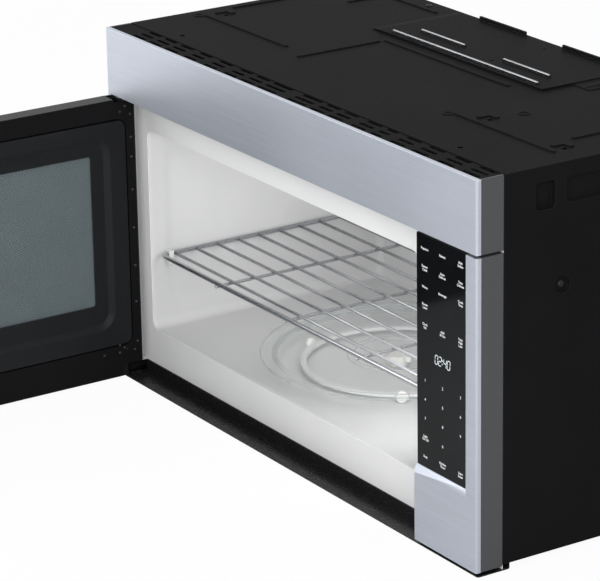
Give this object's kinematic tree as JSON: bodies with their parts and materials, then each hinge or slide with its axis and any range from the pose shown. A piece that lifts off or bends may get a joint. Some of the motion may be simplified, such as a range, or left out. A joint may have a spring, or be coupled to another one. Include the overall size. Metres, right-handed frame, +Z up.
{
  "type": "over the range microwave",
  "caption": "Wall hung microwave oven with a side hinged door, wire rack, turntable, touch control panel, top vent strip and a twin wheel exhaust blower.",
  "frame": {"origin": "centre of the wall face's width and height: x = 0 mid width, y = 0 the wall, z = 0 half the cabinet's height", "axes": "+X to the right seen from the front, +Y into the wall, +Z up; the door is open at 90 degrees at rest"},
  "size_m": [0.812, 1.001, 0.4505],
  "materials": {
    "black_painted_steel": "black powder coated sheet steel, satin",
    "galvanised_steel": "zinc coated steel sheet and fasteners",
    "steel_rods": "ground steel rod",
    "stainless_steel": "brushed stainless steel, grain along the width",
    "carrier_plastic": "moulded ABS, dark grey",
    "black_plastic": "moulded black plastic",
    "dark_glass": "tempered glass printed black behind",
    "white_enamel": "acrylic enamel on formed steel",
    "mica": "mica sheet",
    "clear_glass": "pressed tempered glass",
    "window_film": "clear polyester film",
    "frosted_glass": "frosted glass",
    "plated_wire": "nickel plated steel wire",
    "white_plastic": "moulded white acetal",
    "motor_steel": "pressed steel motor cans",
    "capacitor_can": "drawn aluminium can",
    "diode_epoxy": "moulded epoxy",
    "circuit_board": "glass epoxy board with parts",
    "filter_mesh": "layered aluminium mesh in a frame",
    "charcoal_pad": "carbon granules in a framed pad"
  },
  "bodies": {
    "cabinet": {"base_pan": "black_painted_steel", "left_side_panel": "black_painted_steel", "right_side_panel": "black_painted_steel", "top_panel": "black_painted_steel", "exhaust_cover": "black_painted_steel", "back_panel": "galvanised_steel", "cord_gland": "black_plastic", "fascia_skin": "stainless_steel", "fascia_carrier": "carrier_plastic", "vent_grille": "black_plastic", "front_frame": "white_enamel", "cavity_liner": "white_enamel", "waveguide_cover": "mica", "waveguide": "galvanised_steel", "magnetron": "galvanised_steel", "turntable_motor": "motor_steel", "wire_rack": "plated_wire", "rack_grommets": "white_plastic", "control_frame": "stainless_steel", "control_carrier": "carrier_plastic", "control_glass": "dark_glass", "control_board": "circuit_board", "hinge_brackets": "galvanised_steel", "interlock_bracket": "galvanised_steel", "interlock_switches": "black_plastic", "high_voltage_transformer": "galvanised_steel", "high_voltage_capacitor": "capacitor_can", "high_voltage_diode": "diode_epoxy", "cooling_fan_shroud": "black_plastic", "cooling_fan_motor": "motor_steel", "power_board": "circuit_board", "blower_housing": "black_plastic", "blower_motor": "motor_steel", "charcoal_filter": "charcoal_pad", "grease_filters": "filter_mesh", "cooktop_lamp_lenses": "frosted_glass", "lamps": "frosted_glass", "cabinet_screws": "galvanised_steel"},
    "door": {"door_skin": "stainless_steel", "door_glass": "dark_glass", "door_frame": "black_plastic", "hinge_bushings": "white_plastic", "door_choke": "black_painted_steel", "door_choke_cover": "black_plastic", "door_screen": "black_painted_steel", "door_window_film": "window_film", "door_handle": "stainless_steel", "latch_spring": "galvanised_steel"},
    "latch": {"latch_lever": "white_plastic"},
    "lower_plunger": {"plunger_lower": "white_plastic"},
    "upper_plunger": {"plunger_upper": "white_plastic"},
    "turntable": {"glass_tray": "clear_glass", "turntable_coupler": "white_plastic"},
    "roller_carrier": {"roller_ring": "white_plastic"},
    "wheel_1": {"roller_1": "white_plastic"},
    "wheel_2": {"roller_2": "white_plastic"},
    "wheel_3": {"roller_3": "white_plastic"},
    "blower_rotor": {"blower_wheels": "galvanised_steel", "blower_shaft": "steel_rods"},
    "cooling_rotor": {"cooling_fan_blades": "black_plastic"}
  },
  "joints": [
    {"name": "door_swing", "type": "hinge", "parent": "cabinet", "child": "door", "pos_m": [-0.3715, -0.368, 0], "axis": [0, 0, 1], "range_deg": [-20, 90]},
    {"name": "latch_lift", "type": "slide", "parent": "door", "child": "latch", "axis": [0, 0, 1], "range_m": [0, 0.004], "stiffness_N_per_m": 400, "springref_m": -0.004, "deforming": ["latch_spring"]},
    {"name": "lower_plunger_press", "type": "slide", "parent": "cabinet", "child": "lower_plunger", "axis": [0, 1, 0], "range_m": [0, 0.002], "stiffness_N_per_m": 300, "springref_m": -0.002},
    {"name": "upper_plunger_press", "type": "slide", "parent": "cabinet", "child": "upper_plunger", "axis": [0, 1, 0], "range_m": [0, 0.002], "stiffness_N_per_m": 300, "springref_m": -0.002},
    {"name": "turntable_spin", "type": "hinge", "parent": "cabinet", "child": "turntable", "pos_m": [-0.061, -0.179, 0], "axis": [0, 0, 1], "continuous": true},
    {"name": "roller_carrier_spin", "type": "hinge", "parent": "cabinet", "child": "roller_carrier", "pos_m": [-0.061, -0.179, 0], "axis": [0, 0, 1], "continuous": true},
    {"name": "wheel_1_roll", "type": "hinge", "parent": "roller_carrier", "child": "wheel_1", "pos_m": [0.04048, -0.2449, -0.1535], "axis": [0.8387, -0.5446, 0], "continuous": true},
    {"name": "wheel_2_roll", "type": "hinge", "parent": "roller_carrier", "child": "wheel_2", "pos_m": [-0.05467, -0.05817, -0.1535], "axis": [0.0523, 0.9986, 0], "continuous": true},
    {"name": "wheel_3_roll", "type": "hinge", "parent": "roller_carrier", "child": "wheel_3", "pos_m": [-0.16881, -0.23393, -0.1535], "axis": [-0.891, -0.454, 0], "continuous": true},
    {"name": "blower_spin", "type": "hinge", "parent": "cabinet", "child": "blower_rotor", "pos_m": [0, -0.066, 0.159], "axis": [1, 0, 0], "continuous": true},
    {"name": "cooling_fan_spin", "type": "hinge", "parent": "cabinet", "child": "cooling_rotor", "pos_m": [0.30475, -0.03, -0.012], "axis": [0, 1, 0], "continuous": true}
  ],
  "couplings": [
    {"joint": "roller_carrier_spin", "follows": "turntable_spin", "ratio": 0.5},
    {"joint": "wheel_1_roll", "follows": "turntable_spin", "ratio": -8.4028},
    {"joint": "wheel_2_roll", "follows": "turntable_spin", "ratio": -8.4028},
    {"joint": "wheel_3_roll", "follows": "turntable_spin", "ratio": -8.4028}
  ]
}
